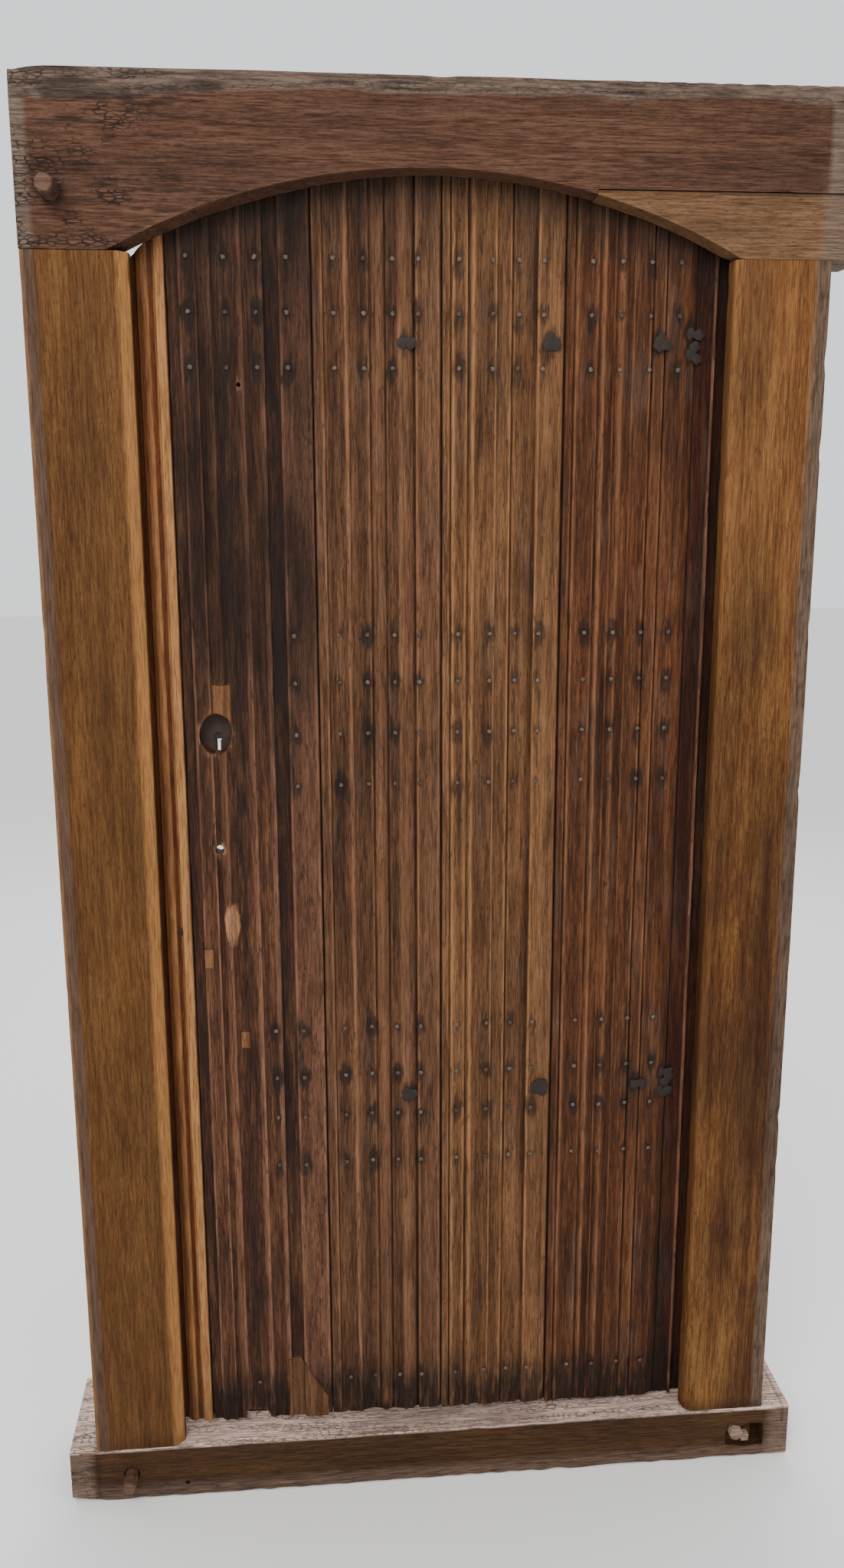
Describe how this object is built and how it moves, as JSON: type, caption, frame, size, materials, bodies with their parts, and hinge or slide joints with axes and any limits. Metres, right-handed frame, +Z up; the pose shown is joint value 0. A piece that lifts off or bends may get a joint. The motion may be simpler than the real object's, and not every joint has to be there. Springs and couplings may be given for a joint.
{
  "type": "arched wooden door",
  "caption": "Old oak plank door hung on strap hinges in a pegged oak frame with an arched lintel, with a rim lock and a sill; wall not included.",
  "frame": {"origin": "middle of the opening at the underside of the sill, half-way through the sill's depth", "axes": "+Z up, -Y out of the moulded face that is seen from outside, +X to that viewer's right"},
  "size_m": [1.1, 0.2201, 1.972],
  "materials": {
    "oak_weathered": "dry, weathered",
    "oak_brown": "waxed, worn",
    "oak_old": "dark, worn",
    "oak_new": "oiled satin",
    "oak_peg": "raw, split",
    "wrought_iron": "rusty, dark"
  },
  "bodies": {
    "frame": {"sill": "oak_weathered", "jamb_left": "oak_new", "jamb_right": "oak_brown", "lintel": "oak_brown", "lintel_repair": "oak_new", "lintel_peg": "oak_peg", "sill_peg_left": "oak_peg", "sill_peg_right": "oak_peg", "pintle_upper": "wrought_iron", "pintle_lower": "wrought_iron", "keep_plate": "wrought_iron", "keep_nails": "wrought_iron"},
    "leaf": {"plank_new": "oak_new", "plank_a": "oak_old", "plank_b": "oak_old", "plank_c": "oak_old", "plank_d": "oak_old", "plank_edge": "oak_old", "patch_lock": "oak_new", "plug_upper": "oak_new", "plug_lower": "oak_new", "patch_foot_square": "oak_new", "patch_foot_angled": "oak_new", "ledge_top": "oak_brown", "ledge_lock": "oak_brown", "ledge_low": "oak_brown", "ledge_foot": "oak_brown", "plank_nails": "wrought_iron", "board_nail": "wrought_iron", "edge_screws": "wrought_iron", "strap_upper": "wrought_iron", "strap_lower": "wrought_iron", "strap_nails": "wrought_iron", "lock_plate": "wrought_iron", "lock_case": "wrought_iron", "bolt_staple": "wrought_iron", "lock_spring": "wrought_iron", "lock_nails": "wrought_iron"},
    "bolt": {"lock_bolt": "wrought_iron"}
  },
  "joints": [
    {"name": "leaf_swing", "type": "hinge", "parent": "frame", "child": "leaf", "pos_m": [0.432, 0.017, 0], "axis": [0, 0, -1], "range_deg": [0, 110]},
    {"name": "bolt_slide", "type": "slide", "parent": "leaf", "child": "bolt", "axis": [-1, 0, 0], "range_m": [0, 0.02]}
  ]
}
